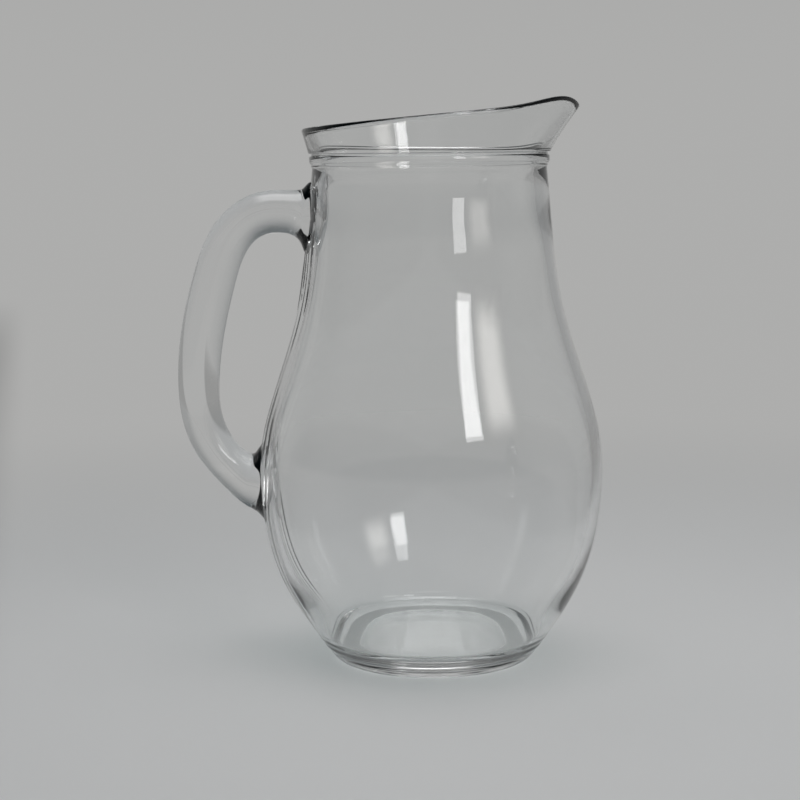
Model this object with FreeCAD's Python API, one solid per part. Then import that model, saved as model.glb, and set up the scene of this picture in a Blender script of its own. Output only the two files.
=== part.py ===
"""Water jug in clear glass, modelled in millimetres.

Frame: origin on the vessel's axis in the plane it stands on, +Z up, spout towards +X, handle towards -X.
The jug is two pieces of glass: a blown vessel with a pressed collar and a drawn-out lip, and a solid handle
fused to it at two roots. Each piece is split into zones that meet face to face, one node per zone.
"""

import FreeCAD, Part
import math
import os

os.makedirs("parts", exist_ok=True)

# Foot and floor
PUNT_R = 33.0  # inner edge of the flat ring that the jug stands on
PUNT_RISE = 0.7  # height of the hollow under the floor, at its centre
FOOT_R = 41.0  # outer edge of the standing ring
HEEL_R = 5.5  # round from the standing ring into the wall
FLOOR_R = 44.0  # flat part of the inner floor
FLOOR_Z = 10.8
CORNER_R = 3.5  # round from the inner floor into the wall
WALL_LEAN = 52.4  # degrees above level at which both rounds run into the wall

# Body, as (radius, height) stations that each outline passes through
OUTER = [(58.1, 20), (68.4, 40), (75.3, 70), (75.4, 98), (67.6, 128), (57.8, 162), (53.9, 192), (51.6, 219)]
INNER = [(51.9, 20), (63.4, 40), (70.9, 70), (71.2, 98), (63.4, 128), (53.5, 162), (49.2, 192), (46.6, 217)]

# Collar: a ring under a fine groove
RING_R = 53.2
RING_LOW_Z = 221.3
GROOVE_Z = 225.6  # the rim starts here
GROOVE_DEPTH = 1.2
MOUTH_R = 48.3  # inner radius at the groove

# Rim and pouring lip
RIM_R = 56.4  # outer radius of the lip on the handle's side
RIM_BACK_Z = 236.6  # top of the lip on the handle's side
RIM_CLIMB = 9.0  # how far the lip climbs from the back to the front
SPOUT_REACH = 10.2  # how far the spout stands out beyond the lip
SPOUT_SPREAD = 25.0  # half angle of the spout, degrees
SHOULDER_RISE = 5.8  # the lip rises on both sides of the spout
SHOULDER_SPREAD = 34.0
DIP_DEPTH = 5.6  # and dips in the middle, where the water leaves
DIP_SPREAD = 13.0
RIM_WALL = 4.9
LIP_WALL = 4.2
SPOUT_WALL = 3.0

# Heights where the vessel is split into zones
BASE_TOP_Z = 16.0
BOWL_TOP_Z = 176.0

# Handle: (x, z, heading in degrees, half thickness, half width) from the upper root to the lower one
HANDLE = [
    (-46.0, 196.5, 180, 18.2, 12.4),
    (-53.6, 196.2, 180, 16.5, 11.6),
    (-55.4, 196.5, 180, 14.4, 11.2),
    (-56.8, 197.9, 180, 12.2, 10.9),
    (-58.6, 199.2, 180, 10.7, 10.7),
    (-63.4, 200.3, 180, 9.6, 10.4),
    (-69.4, 200.5, 184, 9.5, 10.3),
    (-80.4, 197.0, 210, 9.3, 10.0),
    (-89.2, 187.7, 239, 9.3, 10.0),
    (-95.9, 170.6, 251, 9.5, 10.0),
    (-101.2, 149.0, 259, 9.6, 10.0),
    (-103.8, 124.0, 269, 9.2, 10.0),
    (-102.2, 107.8, 284, 8.9, 10.0),
    (-96.9, 95.6, 306, 8.8, 10.0),
    (-90.6, 87.8, 323, 9.0, 10.3),
    (-85.0, 82.9, 338, 10.4, 10.8),
    (-80.8, 80.7, 352, 12.5, 11.4),
    (-77.8, 80.6, 358, 14.9, 12.0),
    (-74.8, 79.9, 360, 18.2, 12.6),
    (-66.0, 79.4, 360, 20.4, 13.6),
]
UPPER_SPLIT = 6  # stations where the handle's middle meets its roots
LOWER_SPLIT = 14


def up(r, z):
    return FreeCAD.Vector(r, 0, z)


def arc(a, middle, b):
    return Part.Arc(a, middle, b).toShape()


def round_off(r, z, radius):
    """An arc that leaves the level at (r, z) and turns up to the wall's lean."""
    half = math.radians(WALL_LEAN / 2)
    full = math.radians(WALL_LEAN)
    middle = up(r + radius * math.sin(half), z + radius * (1 - math.cos(half)))
    end = up(r + radius * math.sin(full), z + radius * (1 - math.cos(full)))
    return arc(up(r, z), middle, end), end


def wall_curve(start, stations, stop, stop_slope):
    """A spline up the wall, from the round's lean to a given slope at the top."""
    lean = math.radians(WALL_LEAN)
    points = [start] + [up(r, z) for r, z in stations] + ([stop] if stop else [])
    curve = Part.BSplineCurve()
    curve.interpolate(
        Points=points, InitialTangent=up(math.cos(lean), math.sin(lean)), FinalTangent=up(stop_slope, 1)
    )
    return curve.toShape(), points[-1]


def spin(edges):
    return Part.Face(Part.Wire(edges)).revolve(up(0, 0), FreeCAD.Vector(0, 0, 1), 360)


def line(*points):
    return [Part.makeLine(a, b) for a, b in zip(points, points[1:])]


def vessel_below_rim():
    """The vessel up to the groove, and the same with its inside filled."""
    heel, heel_end = round_off(FOOT_R, 0, HEEL_R)
    outside, neck = wall_curve(heel_end, OUTER, None, -0.09)
    ring = line(
        neck,
        up(RING_R, RING_LOW_Z),
        up(RING_R, GROOVE_Z - GROOVE_DEPTH),
        up(RING_R - GROOVE_DEPTH, GROOVE_Z),
        up(MOUTH_R, GROOVE_Z),
    )
    corner, corner_end = round_off(FLOOR_R, FLOOR_Z, CORNER_R)
    inside, mouth = wall_curve(corner_end, INNER, up(MOUTH_R, GROOVE_Z), 0.3)
    punt_middle = up(PUNT_R * 0.52, PUNT_RISE * 0.74)
    punt = arc(up(0, PUNT_RISE), punt_middle, up(PUNT_R, 0))
    foot = line(up(PUNT_R, 0), up(FOOT_R, 0))
    floor = line(up(FLOOR_R, FLOOR_Z), up(0, FLOOR_Z), up(0, PUNT_RISE))
    hollow = spin([punt] + foot + [heel, outside] + ring + [inside, corner] + floor)
    plug_top = line(neck, up(0, neck.z), up(0, 0), up(FOOT_R, 0))
    filled = spin([heel, outside] + plug_top)
    return hollow, filled


def slab(low, high):
    return Part.makeCylinder(120, high - low, up(0, low))


def bell(angle, spread):
    return math.exp(-((angle / spread) ** 2))


def lip_height(angle):
    climb = RIM_CLIMB * (1 + math.cos(math.radians(angle))) / 2
    return RIM_BACK_Z + climb + SHOULDER_RISE * bell(angle, SHOULDER_SPREAD) - DIP_DEPTH * bell(angle, DIP_SPREAD)


def rim_point(angle, share, side):
    """A point of the rim's section: share 0 at the groove and 1 at the lip, side 0 outside and 1 inside."""
    spout = bell(angle, SPOUT_SPREAD)
    lean = (RIM_R - RING_R + SPOUT_REACH * spout) * share**1.15
    lip = LIP_WALL + (SPOUT_WALL - LIP_WALL) * spout
    wall = RIM_WALL + (lip - RIM_WALL) * share
    return RING_R + lean - wall * side, GROOVE_Z + (lip_height(angle) - GROOVE_Z) * share


def rim():
    """One closed skin, up the outside, over the lip and down the inside, with a flat face at the groove."""
    outside = [(0, 0), (0.3, 0), (0.62, 0), (0.9, -0.02)]
    crown = [(1.0, 0.02), (1.06, 0.5), (1.0, 0.98)]
    inside = [(0.9, 1.02), (0.62, 1), (0.3, 1), (0, 1)]
    section = outside + crown + inside
    columns = 48
    step = 360 / columns
    ease = 3 / (2 + math.cos(math.radians(step)))  # keeps the skin on its circle between columns
    poles = []
    for i in range(columns):
        angle = i * step - 180
        row = []
        for share, side in section:
            r, z = rim_point(angle, share, side)
            turn = math.radians(angle)
            row.append(FreeCAD.Vector(r * ease * math.cos(turn), r * ease * math.sin(turn), z))
        poles.append(row)
    spans = len(section) - 3
    skin = Part.BSplineSurface()
    skin.buildFromPolesMultsKnots(
        poles, [1] * (columns + 1), [4] + [1] * (spans - 1) + [4], list(range(columns + 1)), list(range(spans + 1)),
        True, False, 3, 3,
    )
    skin = skin.toShape()
    rings = sorted((e for e in skin.Edges if e.isClosed()), key=lambda e: -e.Length)
    seat = Part.Face([Part.Wire(rings[0]), Part.Wire(rings[1])])
    shell = Part.Shell([skin, seat])
    shell.sewShape()
    solid = Part.Solid(shell)
    solid.fix(0.001, 0.001, 0.001)
    return solid


def handle_section(x, z, heading, half_thickness, half_width):
    """A closed oval across the handle's path."""
    turn = math.radians(heading)
    across = FreeCAD.Vector(-math.sin(turn), 0, math.cos(turn))
    points = []
    for i in range(16):
        angle = math.radians(22.5 * i)
        side = FreeCAD.Vector(0, half_width * math.sin(angle), 0)
        points.append(up(x, z) + across * (half_thickness * math.cos(angle)) + side)
    curve = Part.BSplineCurve()
    curve.interpolate(Points=points, PeriodicFlag=True)
    return Part.Wire(curve.toShape())


def handle_span(first, last):
    return Part.makeLoft([handle_section(*station) for station in HANDLE[first : last + 1]], True)


vessel, plug = vessel_below_rim()
nodes = {
    "base_floor": vessel.common(slab(-1, BASE_TOP_Z)),
    "bowl_wall": vessel.common(slab(BASE_TOP_Z, BOWL_TOP_Z)),
    "neck_collar": vessel.common(slab(BOWL_TOP_Z, GROOVE_Z + 1)),
    "pouring_rim": rim(),
    "upper_handle_root": handle_span(0, UPPER_SPLIT).cut(plug),
    "handle_bow": handle_span(UPPER_SPLIT, LOWER_SPLIT),
    "lower_handle_root": handle_span(LOWER_SPLIT, len(HANDLE) - 1).cut(plug),
}

for name, shape in nodes.items():
    solid = shape.Solids[0]
    print(name, len(shape.Solids), solid.isValid(), round(solid.Volume / 1000, 1), "cm3", solid.BoundBox)
    solid.exportStep("parts/" + name + ".step")
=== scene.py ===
"""A large water jug in clear glass, with the floor, backdrop, lights and camera it is shown with.

The jug is two pieces of glass that the maker fuses while hot: a blown vessel with a thick collar and a drawn-out
pouring lip, and a solid handle. Sizes are in millimetres until a point is placed, and the scene is in metres.
The vessel's axis is Z, the spout points to +X and the handle to -X.
"""

import math

import bmesh
import bpy
import numpy as np
from bpy.props import FloatProperty, FloatVectorProperty, IntProperty, PointerProperty
from bpy.types import Operator, Panel, PropertyGroup
from mathutils import Matrix, Vector, noise


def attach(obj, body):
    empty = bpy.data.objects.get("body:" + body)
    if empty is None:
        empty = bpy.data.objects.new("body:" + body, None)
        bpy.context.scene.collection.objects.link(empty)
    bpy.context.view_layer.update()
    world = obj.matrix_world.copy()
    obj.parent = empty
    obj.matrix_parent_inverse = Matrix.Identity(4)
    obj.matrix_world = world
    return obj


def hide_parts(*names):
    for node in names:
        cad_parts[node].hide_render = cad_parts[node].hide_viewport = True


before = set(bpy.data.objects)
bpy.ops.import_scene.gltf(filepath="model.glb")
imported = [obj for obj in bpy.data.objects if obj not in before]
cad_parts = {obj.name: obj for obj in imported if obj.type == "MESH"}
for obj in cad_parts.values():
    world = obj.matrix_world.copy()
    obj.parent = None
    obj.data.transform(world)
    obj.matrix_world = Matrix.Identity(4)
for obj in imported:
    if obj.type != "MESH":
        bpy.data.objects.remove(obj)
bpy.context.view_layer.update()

bl_info = {
    "name": "Glass Water Jug",
    "version": (1, 0, 0),
    "blender": (4, 5, 0),
    "location": "View3D > Sidebar > Water Jug",
    "description": "Builds a blown glass water jug with a fused handle, and a soft studio round it",
    "category": "Add Mesh",
}

MM = 0.001

# Vessel, in millimetres
PUNT_R = 33.0
PUNT_RISE = 0.7
FOOT_R = 41.0
HEEL_R = 5.5
FLOOR_R = 44.0
FLOOR_Z = 10.8
CORNER_R = 3.5
WALL_LEAN = math.radians(52.4)
OUTER = [(58.1, 20), (68.4, 40), (75.3, 70), (75.4, 98), (67.6, 128), (57.8, 162), (53.9, 192), (51.6, 219)]
INNER = [(51.9, 20), (63.4, 40), (70.9, 70), (71.2, 98), (63.4, 128), (53.5, 162), (49.2, 192), (46.6, 217)]
RING_R = 53.2
RING_LOW_Z = 221.3
GROOVE_Z = 225.6
GROOVE_DEPTH = 1.2
MOUTH_R = 48.3
RIM_R = 56.4
RIM_BACK_Z = 236.6
RIM_CLIMB = 9.0
SPOUT_REACH = 10.2
SPOUT_SPREAD = 25.0
SHOULDER_RISE = 5.8
SHOULDER_SPREAD = 34.0
DIP_DEPTH = 5.6
DIP_SPREAD = 13.0
RIM_WALL = 4.9
LIP_WALL = 4.2
SPOUT_WALL = 3.0
LIP_ROUND = 2.2  # height of the lip's rounded edge
LIP_FULLNESS = 2.4  # 2 makes the lip's edge a half ellipse, and more makes it squarer
RIM_FLARE = 1.15  # above 1, the rim leans out more towards the lip

# How the outlines lean where they start and end, as (outward, up)
WALL_SLOPE = (0.6, 1)
NECK_SLOPE = (-0.09, 1)
MOUTH_SLOPE = (0.19, 1)
SPAN_STEPS = 9  # points on a smooth line between two of its stations
SAME_POINT = 0.002  # points closer together than this are one

# Collar: (how far inside the ring's radius, height), measured up from its lower edge and then from the groove
COLLAR_FOOT = [(1.0, -0.6), (0.6, 0.0), (0.4, 0.8)]
COLLAR_TOP = [(0.4, -1.6), (0.6, -1.4), (GROOVE_DEPTH, -1.1), (GROOVE_DEPTH, -0.3), (0.6, -0.05), (0.0, 0.0)]

# Faint rings pressed round the base
RING_WAVE = 0.3  # height
RINGS_TOP_Z = 13.0
BASE_ROWS = 17  # rows of points from the heel to the top of the rings
ROWS_PER_RING = 6

# Slow waves in the blown wall
WAVES_PER_METRE = 22
OUTER_WAVE = 0.25  # the outside is this much as wavy as the inside
WAVE_FADE = 20.0  # the waves grow from nothing over this height above the floor and below the groove

# Long folds that the hot handle pulled in the wall: degrees round from the handle, half width in degrees, height
FOLDS = [(-10.0, 2.4, 0.5), (-4.5, 2.0, 0.8), (1.5, 1.8, 0.7), (7.5, 2.2, 0.6)]
FOLDS_REACH = 25  # degrees from the handle beyond which the wall has no folds
FOLDS_DRIFT = 3  # degrees that the folds wander to each side
FOLDS_BEND = 31  # they wander over and back once in 2 pi times this height
LOWER_FOLDS = 1.5  # height of the folds below the lower joint, against 1 at the upper joint
LOWER_FOLDS_FOOT_Z = 11
LOWER_FOLDS_GROW = 20  # height over which they grow from nothing above their foot
LOWER_FOLDS_TOP_Z = 80
LOWER_FOLDS_FADE = 22
UPPER_FOLDS_Z = 172
UPPER_FOLDS_FADE = 18

# Handle: (x, z, heading in degrees, half thickness, half width) from the upper root to the lower one
HANDLE = [
    (-50.5, 196.4, 180, 17.4, 12.0),
    (-53.6, 196.2, 180, 16.5, 11.6),
    (-55.4, 196.5, 180, 14.4, 11.2),
    (-56.8, 197.9, 180, 12.2, 10.9),
    (-58.6, 199.2, 180, 10.7, 10.7),
    (-63.4, 200.3, 180, 9.6, 10.4),
    (-69.4, 200.5, 184, 9.5, 10.3),
    (-80.4, 197.0, 210, 9.3, 10.0),
    (-89.2, 187.7, 239, 9.3, 10.0),
    (-95.9, 170.6, 251, 9.5, 10.0),
    (-101.2, 149.0, 259, 9.6, 10.0),
    (-103.8, 124.0, 269, 9.2, 10.0),
    (-102.2, 107.8, 284, 8.9, 10.0),
    (-96.9, 95.6, 306, 8.8, 10.0),
    (-90.6, 87.8, 323, 9.0, 10.3),
    (-85.0, 82.9, 338, 10.4, 10.8),
    (-80.8, 80.7, 352, 12.5, 11.4),
    (-77.8, 80.6, 358, 14.9, 12.0),
    (-74.8, 79.9, 360, 18.2, 12.6),
    (-72.6, 79.6, 360, 19.2, 13.0),
]
SUNK = 2.0  # how far the handle's ends are sunk into the wall
ROOT_TAPER = 0.2  # how fast the handle narrows as it leaves each root, for each millimetre along it

# The glass's surface
GRAIN_PER_METRE = 45  # how close together the marks of blowing lie
GRAIN_HEIGHT = 0.3  # their height, of which the strength below is felt
GRAIN_STRENGTH = 0.04
HAZE = 0.012  # roughness of the haziest patches
WORN = 0.3  # roughness where the jug stands
WORN_HEIGHT = 0.2  # how far up from the table the glass is worn
SHADOW_TINT = (0.80, 0.82, 0.82)  # light that the glass lets through to the floor at each surface

# The studio, in metres and degrees
FLOOR_RADIUS = 2.5
LIT_FLOOR = (0.15, 0.8)  # distances over which the floor goes from lit paper to the backdrop's glow
CLEAR_FLOOR = (1.2, 2.4)  # and from that glow to the air behind
# Painted shade: past a line on each side of the jug, the floor is painted darker
PAINTED_SHADE_GAP_HALF = 0.19  # half the gap beside the jug between the painted shade on its two sides
PAINTED_SHADE_SPLAY = 0.206  # how much wider it gets for each metre further back
PAINTED_SHADE_SOFT = 0.05  # width over which the painted shade fades in
# The room's light: degrees to the right of straight behind the jug, and the share of the backdrop's tone
ROOM_TONES = [
    (-85, 0.0),
    (-60, 0.75),
    (-40, 0.9),
    (-15, 1.0),
    (15, 1.0),
    (28, 0.75),
    (60, 0.75),
    (95, 0.5),
    (120, 0.0),
]
ROOM_FADE = 0.8  # sine of the angle above level by which that light has faded
ROOM_TOP = 0.2  # and the share of it that is left there
CAMERA_AWAY = 0.837
CAMERA_HEIGHT = 0.225
CAMERA_TURN = 0.956
CAMERA_DIP = 7.413
CAMERA_ROLL = -0.6


# Outlines


def smooth_line(stations, first, last, steps):
    """Points along the smooth curve through the stations that leaves along first and arrives along last."""
    p = np.array(stations, float)
    gap = np.linalg.norm(np.diff(p[:, :2], axis=0), axis=1)
    rows = np.eye(len(p))
    pull = np.zeros_like(p)
    pull[0] = first
    pull[-1] = last
    for i in range(1, len(p) - 1):
        a, b = gap[i - 1], gap[i]
        rows[i, i - 1 : i + 2] = b, 2 * (a + b), a
        pull[i] = 3 * ((p[i] - p[i - 1]) * b / a + (p[i + 1] - p[i]) * a / b)
    lean = np.linalg.solve(rows, pull)
    found = []
    for i, h in enumerate(gap):
        s = np.linspace(0, 1, steps, endpoint=False)[:, None]
        b, c = p[i] + lean[i] * h / 3, p[i + 1] - lean[i + 1] * h / 3
        found += list(p[i] * (1 - s) ** 3 + 3 * b * s * (1 - s) ** 2 + 3 * c * s**2 * (1 - s) + p[i + 1] * s**3)
    return found + [p[-1]]


def round_off(r, z, radius, steps):
    """Points on an arc that leaves the level at (r, z) and turns up to the wall's lean."""
    turns = [WALL_LEAN * i / steps for i in range(steps + 1)]
    return [(r + radius * math.sin(t), z + radius * (1 - math.cos(t))) for t in turns]


def unit(x, z):
    return np.array([x, z]) / math.hypot(x, z)


def bell(angle, spread):
    return math.exp(-((angle / spread) ** 2))


def lip_height(angle):
    climb = RIM_CLIMB * (1 + math.cos(math.radians(angle))) / 2
    shoulders = SHOULDER_RISE * bell(angle, SHOULDER_SPREAD)
    return RIM_BACK_Z + climb + shoulders - DIP_DEPTH * bell(angle, DIP_SPREAD)


def rim_point(angle, rise, side):
    """A point of the rim's section.

    The rise is 0 at the groove and 1 where the lip's round starts. The side is 0 outside and 1 inside.
    """
    top = lip_height(angle)
    z = GROOVE_Z + (top - LIP_ROUND - GROOVE_Z) * rise
    if rise >= 1:
        z = top - LIP_ROUND * (1 - (1 - abs(2 * side - 1) ** LIP_FULLNESS) ** (1 / LIP_FULLNESS))
    share = min(1, (z - GROOVE_Z) / (top - GROOVE_Z))
    spout = bell(angle, SPOUT_SPREAD)
    lean = (RIM_R - RING_R + SPOUT_REACH * spout) * share**RIM_FLARE
    lip = LIP_WALL + (SPOUT_WALL - LIP_WALL) * spout
    wall = RIM_WALL + (lip - RIM_WALL) * share
    return RING_R + lean - wall * side, z


def below_rim():
    """The vessel's outline up to the groove outside, and down from the groove inside."""
    punt = [(r, PUNT_RISE * (1 - (r / PUNT_R) ** 2)) for r in np.linspace(0, PUNT_R - 1, 12)]
    foot = [(PUNT_R + 0.6, 0.0), (PUNT_R + 2, 0.0), (FOOT_R - 3, 0.0)]
    heel = round_off(FOOT_R, 0, HEEL_R, 8)
    lean = unit(math.cos(WALL_LEAN), math.sin(WALL_LEAN))
    outside = smooth_line([heel[-1]] + OUTER, lean, unit(*NECK_SLOPE), SPAN_STEPS)
    heights = np.linspace(heel[-1][1], RINGS_TOP_Z, BASE_ROWS + 1)
    radii = np.interp(heights, [q[1] for q in outside], [q[0] for q in outside])
    base = []
    for i, (r, z) in enumerate(zip(radii, heights)):
        swell = RING_WAVE * math.sin(math.tau * i / ROWS_PER_RING) * math.sin(math.pi * i / BASE_ROWS)
        base.append((float(r) + swell, z))
    outside = base + [q for q in outside if q[1] > RINGS_TOP_Z + 0.8]
    collar = [(RING_R - inset, RING_LOW_Z + z) for inset, z in COLLAR_FOOT]
    collar += [(RING_R - inset, GROOVE_Z + z) for inset, z in COLLAR_TOP]
    corner = round_off(FLOOR_R, FLOOR_Z, CORNER_R, 6)
    stations = [corner[-1]] + INNER + [(MOUTH_R, GROOVE_Z)]
    inside = smooth_line(stations, lean, unit(*MOUTH_SLOPE), SPAN_STEPS)
    floor = [(r, FLOOR_Z) for r in np.linspace(0, FLOOR_R, 14)]
    up = punt + foot + heel[:-1] + outside + collar
    down = inside[-2::-1] + corner[-2::-1] + floor[-2::-1]
    return up, down


def rim_section():
    """The rim's section as (rise, side) pairs, up the outside, over the lip and down the inside."""
    rises = [0.01, 0.025, 0.05, 0.09, *np.linspace(0.15, 1, 10)]  # closer together just above the groove
    over = [(1.0, (1 - math.cos(math.pi * i / 10)) / 2) for i in range(1, 10)]
    return [(rise, 0.0) for rise in rises] + over + [(rise, 1.0) for rise in reversed(rises)]


def wall_radius(z):
    """The radius of the vessel's outer wall at a height."""
    line = smooth_line(OUTER, unit(*WALL_SLOPE), unit(*NECK_SLOPE), SPAN_STEPS)
    return float(np.interp(z, [p[1] for p in line], [p[0] for p in line]))


# Meshes


def turn_round(bm, geom, steps):
    """Spins a line round Z: an eighth of a turn, then doubled three times, which is quicker than one spin."""
    bmesh.ops.spin(bm, geom=geom, cent=(0, 0, 0), axis=(0, 0, 1), angle=math.tau / 8, steps=steps // 8)
    for part in (8, 4, 2):
        copy = bmesh.ops.duplicate(bm, geom=bm.verts[:] + bm.edges[:] + bm.faces[:])["geom"]
        moved = [g for g in copy if isinstance(g, bmesh.types.BMVert)]
        bmesh.ops.rotate(bm, cent=(0, 0, 0), matrix=Matrix.Rotation(math.tau / part, 3, "Z"), verts=moved)
    bmesh.ops.remove_doubles(bm, verts=bm.verts, dist=SAME_POINT * MM)


def spin_vessel(steps, wave):
    """The vessel as one closed skin, its rim then drawn out to the lip and spout."""
    bm = bmesh.new()
    rise_of = bm.verts.layers.float.new("rise")
    side_of = bm.verts.layers.float.new("side")
    up, down = below_rim()
    line = [(r, z, -1, 0) for r, z in up]
    line += [(*rim_point(180, rise, side), rise, side) for rise, side in rim_section()]
    line += [(r, z, -1, 1) for r, z in down]
    verts = []
    for r, z, rise, side in line:
        v = bm.verts.new((r * MM, 0, z * MM))
        v[rise_of] = rise
        v[side_of] = side
        verts.append(v)
    edges = [bm.edges.new(pair) for pair in zip(verts, verts[1:])]
    turn_round(bm, verts + edges, steps)
    for v in bm.verts:
        if v[rise_of] >= 0:
            turn = math.atan2(v.co.y, v.co.x)
            r, z = rim_point(math.degrees(turn), v[rise_of], v[side_of])
            v.co = Vector((r * math.cos(turn), r * math.sin(turn), z)) * MM
        elif v.co.z > FLOOR_Z * MM:
            outer = v[side_of] < 0.5
            away = Vector((v.co.x, v.co.y, 0)).normalized()
            elsewhere = Vector((0, 0, 9 * v[side_of]))  # so that the inside has its own waves
            grain = noise.noise(v.co * WAVES_PER_METRE + elsewhere)
            depth = (OUTER_WAVE if outer else 1) * min(1, (v.co.z / MM - FLOOR_Z) / WAVE_FADE)
            v.co += away * grain * wave * depth * max(0, min(1, (GROOVE_Z - v.co.z / MM) / WAVE_FADE))
            turn = math.degrees(math.atan2(v.co.y, -v.co.x))
            if outer and abs(turn) < FOLDS_REACH:
                v.co += away * fold_height(turn, v.co.z / MM) * MM
    bmesh.ops.recalc_face_normals(bm, faces=bm.faces)
    return bm


def fold_height(angle, z):
    """Height of the folds below the handle's two joints, at an angle round from the handle."""
    lower = LOWER_FOLDS * min(1, max(0, (z - LOWER_FOLDS_FOOT_Z) / LOWER_FOLDS_GROW))
    lower *= bell(max(0, z - LOWER_FOLDS_TOP_Z), LOWER_FOLDS_FADE)
    upper = bell(z - UPPER_FOLDS_Z, UPPER_FOLDS_FADE)
    drift = FOLDS_DRIFT * math.sin(z / FOLDS_BEND)
    return (lower + upper) * sum(high * bell(angle - at - drift, wide) for at, wide, high in FOLDS)


def section_place(x, z, heading, half_thickness, half_width):
    """The matrix that carries a unit circle to the handle's section there."""
    turn = math.radians(heading)
    across = Vector((-math.sin(turn), 0, math.cos(turn))) * half_thickness * MM
    wide = Vector((0, half_width * MM, 0))
    along = Vector((math.cos(turn), 0, math.sin(turn))) * MM
    place = Matrix((across, wide, along)).transposed().to_4x4()
    place.translation = Vector((x, 0, z)) * MM
    return place


def pull_handle(around):
    """The handle as a closed skin: a ring drawn from the upper root to the lower one."""
    stations = [(x, z, math.radians(h), t, w) for x, z, h, t, w in HANDLE]
    start = (-1, 0, 0, -ROOT_TAPER, -ROOT_TAPER)
    stop = (1, 0, 0, ROOT_TAPER, ROOT_TAPER)
    line = smooth_line(stations, start, stop, SPAN_STEPS)
    path = [(x, z, math.degrees(h), t, w) for x, z, h, t, w in line]
    bm = bmesh.new()
    ring = bmesh.ops.create_circle(bm, segments=around, radius=1)["verts"]
    here = section_place(*path[0])
    bmesh.ops.transform(bm, matrix=here, verts=ring)
    first = list(ring)
    edges = list(bm.edges)
    bmesh.ops.contextual_create(bm, geom=edges)
    for station in path[1:]:
        there = section_place(*station)
        grown = bmesh.ops.extrude_edge_only(bm, edges=edges)["geom"]
        ring = [g for g in grown if isinstance(g, bmesh.types.BMVert)]
        edges = [g for g in grown if isinstance(g, bmesh.types.BMEdge) and all(v in ring for v in g.verts)]
        bmesh.ops.transform(bm, matrix=there @ here.inverted(), verts=ring)
        here = there
    bmesh.ops.contextual_create(bm, geom=edges)
    for v in first + ring:
        deep = (wall_radius(v.co.z / MM) - SUNK) * MM
        v.co.x = -math.sqrt(deep**2 - v.co.y**2)
    bmesh.ops.recalc_face_normals(bm, faces=bm.faces)
    return bm


def make_object(name, bm, *materials):
    mesh = bpy.data.meshes.new(name)
    bm.to_mesh(mesh)
    bm.free()
    piece = bpy.data.objects.new(name, mesh)
    bpy.context.scene.collection.objects.link(piece)
    for material in materials:
        mesh.materials.append(material)
    mesh.shade_smooth()
    return piece


def fused(vessel, handle):
    """The two pieces of glass as one skin, with the faces of each still in its own material slot."""
    join = vessel.modifiers.new("join", "BOOLEAN")
    join.object = handle
    join.operation = "UNION"
    join.solver = "MANIFOLD"
    join.material_mode = "TRANSFER"
    bpy.context.view_layer.update()
    grown = vessel.evaluated_get(bpy.context.evaluated_depsgraph_get())
    bm = bmesh.new()
    bm.from_mesh(grown.to_mesh())
    slots = [m.name for m in grown.data.materials]
    grown.to_mesh_clear()
    vessel.modifiers.remove(join)
    return bm, slots


def keep_side(whole, index):
    """A copy of the fused skin with only one material's faces, each weld closed by faces in slot 1."""
    bm = whole.copy()
    others = [f for f in bm.faces if f.material_index != index]
    bmesh.ops.delete(bm, geom=others, context="FACES")
    for f in bm.faces:
        f.material_index = 0
    seam = [e for e in bm.edges if e.is_boundary]
    for e in seam:
        e.smooth = False
    filled = bmesh.ops.triangle_fill(bm, use_beauty=True, edges=seam)["geom"]
    patch = [g for g in filled if isinstance(g, bmesh.types.BMFace)]
    for f in patch:
        f.material_index = 1
    bmesh.ops.recalc_face_normals(bm, faces=bm.faces)
    return bm


# Materials


class Nodes:
    """Adds nodes to a material or world. An input takes a value or the output of another node."""

    def __init__(self, owner):
        owner.use_nodes = True
        self.tree = owner.node_tree
        self.tree.nodes.clear()

    def add(self, kind, inputs, output=None, **values):
        """Makes a node with its inputs set or linked, and gives back the named output."""
        node = self.tree.nodes.new(kind)
        for key, value in values.items():
            setattr(node, key, value)
        for key, value in inputs.items():
            if isinstance(value, bpy.types.NodeSocket):
                self.tree.links.new(value, node.inputs[key])
            else:
                node.inputs[key].default_value = value
        return node.outputs[output] if output else node

    def fade(self, value, start, end, low=0, high=1, kind="SMOOTHSTEP"):
        """Goes from low to high as the value goes from start to end."""
        inputs = {"Value": value, "From Min": start, "From Max": end, "To Min": low, "To Max": high}
        return self.add("ShaderNodeMapRange", inputs, "Result", interpolation_type=kind)

    def math(self, operation, *terms):
        return self.add("ShaderNodeMath", dict(enumerate(terms)), "Value", operation=operation)

    def mix(self, share, first, second):
        return self.add("ShaderNodeMixShader", {0: share, 1: first, 2: second}, "Shader")

    def place(self, kind="Object"):
        return self.add("ShaderNodeTexCoord", {}, kind)

    def surface(self, shader):
        self.add("ShaderNodeOutputMaterial", {"Surface": shader})


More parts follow.
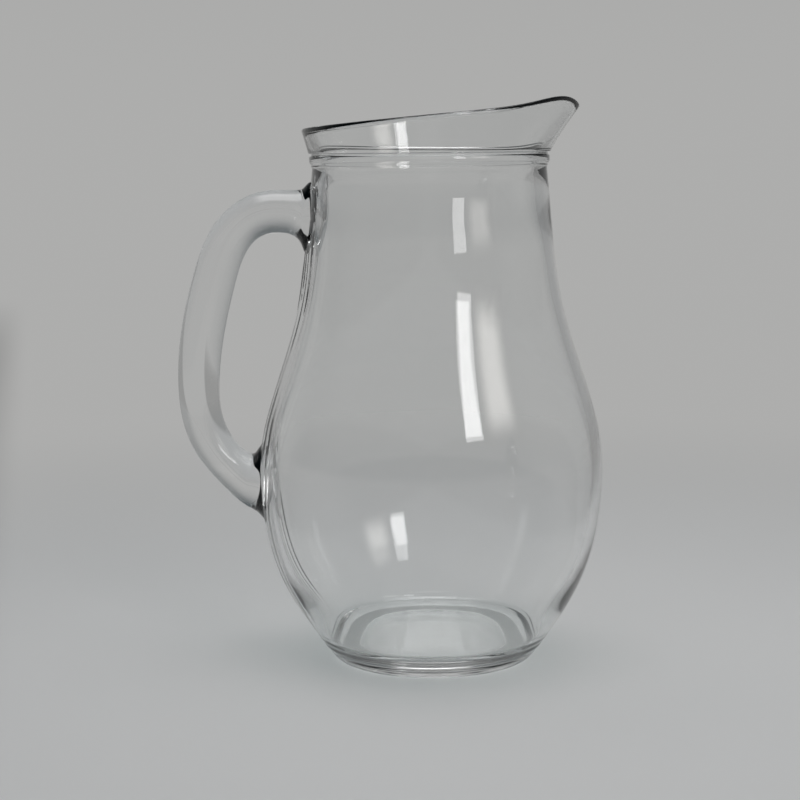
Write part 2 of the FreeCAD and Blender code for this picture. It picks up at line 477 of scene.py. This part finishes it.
def glass(name, tint, ior):
    """Clear fire-polished glass: faintly uneven where it was blown, and worn dull where it stands."""
    material = bpy.data.materials.new(name)
    n = Nodes(material)
    place = n.place()
    grain = n.add("ShaderNodeTexNoise", {"Vector": place, "Scale": GRAIN_PER_METRE, "Detail": 3}, "Fac")
    haze = n.fade(grain, 0.45, 0.8, high=HAZE, kind="LINEAR")
    height = n.add("ShaderNodeSeparateXYZ", {"Vector": place}, "Z")
    worn = n.fade(height, WORN_HEIGHT * MM, 0, high=WORN, kind="LINEAR")
    marks = {"Strength": GRAIN_STRENGTH, "Distance": GRAIN_HEIGHT * MM, "Height": grain}
    look = {
        "Base Color": (*tint, 1),
        "IOR": ior,
        "Transmission Weight": 1,
        "Roughness": n.math("ADD", haze, worn),
        "Normal": n.add("ShaderNodeBump", marks, "Normal"),
    }
    shader = n.add("ShaderNodeBsdfPrincipled", look, "BSDF")
    clear = n.add("ShaderNodeBsdfTransparent", {"Color": (*SHADOW_TINT, 1)}, "BSDF")
    n.surface(n.mix(n.add("ShaderNodeLightPath", {}, "Is Shadow Ray"), shader, clear))
    return material


def weld():
    """Faces inside the glass where the two pieces are one: they close each piece and can't be seen."""
    material = bpy.data.materials.new("weld")
    n = Nodes(material)
    n.surface(n.add("ShaderNodeBsdfTransparent", {}, "BSDF"))
    return material


def paper(settings):
    """Pale paper: lit near the jug and fading into the light behind it, with painted shade that darkens it past
    a line on each side.
    """
    material = bpy.data.materials.new("floor paper")
    n = Nodes(material)
    place = n.place()
    # Painted shade: each side's mask darkens the lit floor and its glow past a line
    edges = []
    for slope, dark in ((1, settings.left_shade), (-1, settings.right_shade)):
        to_shade_line = {0: place, 1: (slope, PAINTED_SHADE_SPLAY, 0)}
        side = n.add("ShaderNodeVectorMath", to_shade_line, "Value", operation="DOT_PRODUCT")
        edges.append(n.fade(side, -PAINTED_SHADE_GAP_HALF - PAINTED_SHADE_SOFT, -PAINTED_SHADE_GAP_HALF, low=dark))
    shade = n.math("MULTIPLY", *edges)
    tones = []
    for colour in (settings.floor_colour, settings.back_colour):
        scaled = {0: colour, "Scale": shade}
        tones.append(n.add("ShaderNodeVectorMath", scaled, "Vector", operation="SCALE"))
    lit = n.add("ShaderNodeBsdfDiffuse", {"Color": tones[0]}, "BSDF")
    glow = n.add("ShaderNodeEmission", {"Color": tones[1]}, "Emission")
    clear = n.add("ShaderNodeBsdfTransparent", {}, "BSDF")
    away = n.add("ShaderNodeVectorMath", {0: place}, "Value", operation="LENGTH")
    near = n.mix(n.fade(away, *LIT_FLOOR), lit, glow)
    n.surface(n.mix(n.fade(away, *CLEAR_FLOOR), near, clear))
    return material


def studio_air(scene, settings):
    """The light all round: pale behind the jug, fading to the room in front of it and above."""
    world = bpy.data.worlds.new("studio air")
    scene.world = world
    n = Nodes(world)
    split = n.add("ShaderNodeSeparateXYZ", {"Vector": n.place("Generated")})
    turn = n.math("ARCTAN2", split.outputs["X"], split.outputs["Y"])
    ramp = n.add("ShaderNodeValToRGB", {"Fac": n.fade(turn, -math.pi, math.pi, kind="LINEAR")})
    stops = ramp.color_ramp.elements
    for i, (degrees, tone) in enumerate(ROOM_TONES):
        where = (degrees + 180) / 360
        stop = stops[i] if i < 2 else stops.new(where)
        stop.position = where
        stop.color = (tone, tone, tone, 1)
    rise = n.fade(split.outputs["Z"], 0, ROOM_FADE, low=1, high=ROOM_TOP)
    tones = {
        "Factor": n.math("MULTIPLY", ramp.outputs["Color"], rise),
        "A": (*settings.front_colour, 1),
        "B": (*settings.back_colour, 1),
    }
    pale = n.add("ShaderNodeMix", tones, "Result", data_type="RGBA")
    air = n.add("ShaderNodeBackground", {"Color": pale}, "Background")
    n.add("ShaderNodeOutputWorld", {"Surface": air})


def panel_light(name, radiance, colour, width, tall, soft):
    """A glow that fades towards the edges of its sheet over the soft share of its size."""
    material = bpy.data.materials.new(name)
    n = Nodes(material)
    split = n.add("ShaderNodeSeparateXYZ", {"Vector": n.place()})
    fades = []
    for axis, half in (("X", width / 2), ("Y", tall / 2)):
        away = n.math("ABSOLUTE", split.outputs[axis])
        fades.append(n.fade(away, half * (1 - soft), half, low=1, high=0))
    strength = n.math("MULTIPLY", n.math("MULTIPLY", *fades), radiance)
    n.surface(n.add("ShaderNodeEmission", {"Color": (*colour, 1), "Strength": strength}, "Emission"))
    return material


def panel(name, radiance, azimuth, away, height, width, tall, soft, colour=(1, 1, 1)):
    """A soft rectangular light facing the jug, at an angle round from the front to the right."""
    bm = bmesh.new()
    bmesh.ops.create_grid(bm, x_segments=1, y_segments=1, size=0.5)
    bmesh.ops.scale(bm, vec=(width, tall, 1), verts=bm.verts)
    lamp = make_object(name, bm, panel_light(name, radiance, colour, width, tall, soft))
    turn = math.radians(azimuth)
    lamp.location = (away * math.sin(turn), -away * math.cos(turn), height)
    facing = Vector((-lamp.location.x, -lamp.location.y, 0)) if away else Vector((0, 0, -1))
    lamp.rotation_mode = "QUATERNION"
    lamp.rotation_quaternion = facing.to_track_quat("-Z", "Y")
    lamp.visible_camera = False


# Settings


def colour_choice(name, description, default):
    return FloatVectorProperty(
        name=name, description=description, default=default, subtype="COLOR", min=0, max=1
    )


def number_choice(name, description, default, most):
    return FloatProperty(name=name, description=description, default=default, min=0, max=most)


class JugSettings(PropertyGroup):
    """What a user would change on the jug."""

    glass_tint: colour_choice(
        "Glass tint", "Colour that the glass gives to light going through it", (0.995, 0.999, 0.999)
    )
    ior: FloatProperty(name="Refraction", description="Index of refraction", default=1.52, min=1, max=2)
    columns: IntProperty(name="Columns", description="Faces round the vessel", default=336, min=48, max=512)
    wave: FloatProperty(
        name="Waviness",
        description="Height of the slow waves in the blown wall",
        default=0.15 * MM,
        unit="LENGTH",
        precision=5,
        min=0,
        max=2 * MM,
    )
    around: IntProperty(name="Handle faces", description="Faces round the handle", default=40, min=12, max=96)


class StudioSettings(PropertyGroup):
    """What a user would change in the studio."""

    lens: FloatProperty(name="Lens", description="Focal length", default=85, unit="CAMERA", min=10, max=300)
    floor_colour: colour_choice("Floor colour", "Colour of the floor", (0.72, 0.72, 0.72))
    back_colour: colour_choice("Backdrop", "Light from behind the jug", (0.42, 0.42, 0.415))
    front_colour: colour_choice("Room", "Light from the room in front", (0.02, 0.036, 0.044))
    # Tones of the painted shade on the floor past its left and right lines
    left_shade: number_choice("Left", "Tone past the paper's left edge", 0.7, 1)
    right_shade: number_choice("Right", "Tone past the paper's right edge", 0.7, 1)
    window_light: number_choice("Window", "Brightness of the window", 6, 100)
    curtain_light: number_choice("Curtain", "Brightness of the curtain", 3, 100)
    overhead_light: number_choice("Overhead", "Brightness of the softbox", 3, 100)


# Operators


class JUG_OT_glass(Operator):
    """Build the vessel and the handle, fused together"""

    bl_idname = "jug.glass"
    bl_label = "Vessel and Handle"

    def execute(self, context):
        settings = context.scene.jug_settings
        vessel_glass = glass("vessel glass", settings.glass_tint, settings.ior)
        handle_glass = glass("handle glass", settings.glass_tint, settings.ior)
        hidden = weld()
        vessel = make_object("vessel_blank", spin_vessel(settings.columns, settings.wave), vessel_glass)
        handle = make_object("handle_blank", pull_handle(settings.around), handle_glass)
        whole, slots = fused(vessel, handle)
        pieces = (
            ("vessel", "vessel glass", vessel_glass, "vessel_glass"),
            ("handle", "handle glass", handle_glass, "handle_glass"),
        )
        stands_for = {
            "vessel": ("base_floor", "bowl_wall", "neck_collar", "pouring_rim"),
            "handle": ("upper_handle_root", "handle_bow", "lower_handle_root"),
        }
        for name, material_name, material, slot in pieces:
            piece = make_object(name, keep_side(whole, slots.index(material_name)), material, hidden)
            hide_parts(*stands_for[name])
            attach(piece, "root")
        whole.free()
        bpy.data.objects.remove(vessel)
        bpy.data.objects.remove(handle)
        return {"FINISHED"}


class JUG_OT_studio(Operator):
    """Set up the floor, backdrop, lights and camera"""

    bl_idname = "jug.studio"
    bl_label = "Studio"

    def execute(self, context):
        settings = context.scene.studio_settings
        scene = context.scene
        scene.view_settings.view_transform = "Standard"
        bm = bmesh.new()
        bmesh.ops.create_circle(bm, cap_ends=True, segments=128, radius=FLOOR_RADIUS)
        floor = make_object("floor", bm, paper(settings))
        studio_air(scene, settings)
        panel(
            "window",
            settings.window_light,
            azimuth=29.3,
            away=1.4,
            height=0.875,
            width=0.30,
            tall=0.75,
            soft=0.06,
        )
        panel(
            "curtain",
            settings.curtain_light,
            azimuth=51,
            away=1.4,
            height=0.85,
            width=0.72,
            tall=0.85,
            soft=0.75,
            colour=(1, 0.98, 0.94),
        )
        panel("overhead", settings.overhead_light, azimuth=0, away=0, height=1.6, width=1.6, tall=1.6, soft=0.5)

        lens = bpy.data.cameras.new("camera")
        lens.lens = settings.lens
        lens.sensor_width = 36
        camera = bpy.data.objects.new("camera", lens)
        scene.collection.objects.link(camera)
        camera.matrix_world = (
            Matrix.Translation((0, -CAMERA_AWAY, CAMERA_HEIGHT))
            @ Matrix.Rotation(math.radians(CAMERA_TURN), 4, "Z")
            @ Matrix.Rotation(math.radians(90 - CAMERA_DIP), 4, "X")
            @ Matrix.Rotation(math.radians(CAMERA_ROLL), 4, "Z")
        )
        scene.camera = camera
        return {"FINISHED"}


class JUG_PT_panel(Panel):
    """Lists the jug's operators"""

    bl_idname = "JUG_PT_panel"
    bl_label = "Water Jug"
    bl_space_type = "VIEW_3D"
    bl_region_type = "UI"
    bl_category = "Water Jug"

    def draw(self, context):
        for name in OPERATORS:
            self.layout.operator(name)


OPERATORS = ("jug.glass", "jug.studio")
CLASSES = (JugSettings, StudioSettings, JUG_OT_glass, JUG_OT_studio, JUG_PT_panel)


def register():
    for cls in CLASSES:
        bpy.utils.register_class(cls)
    bpy.types.Scene.jug_settings = PointerProperty(type=JugSettings)
    bpy.types.Scene.studio_settings = PointerProperty(type=StudioSettings)


def unregister():
    del bpy.types.Scene.studio_settings
    del bpy.types.Scene.jug_settings
    for cls in reversed(CLASSES):
        bpy.utils.unregister_class(cls)


def main():
    register()
    bpy.ops.jug.glass()
    bpy.ops.jug.studio()


if __name__ == "__main__":
    main()
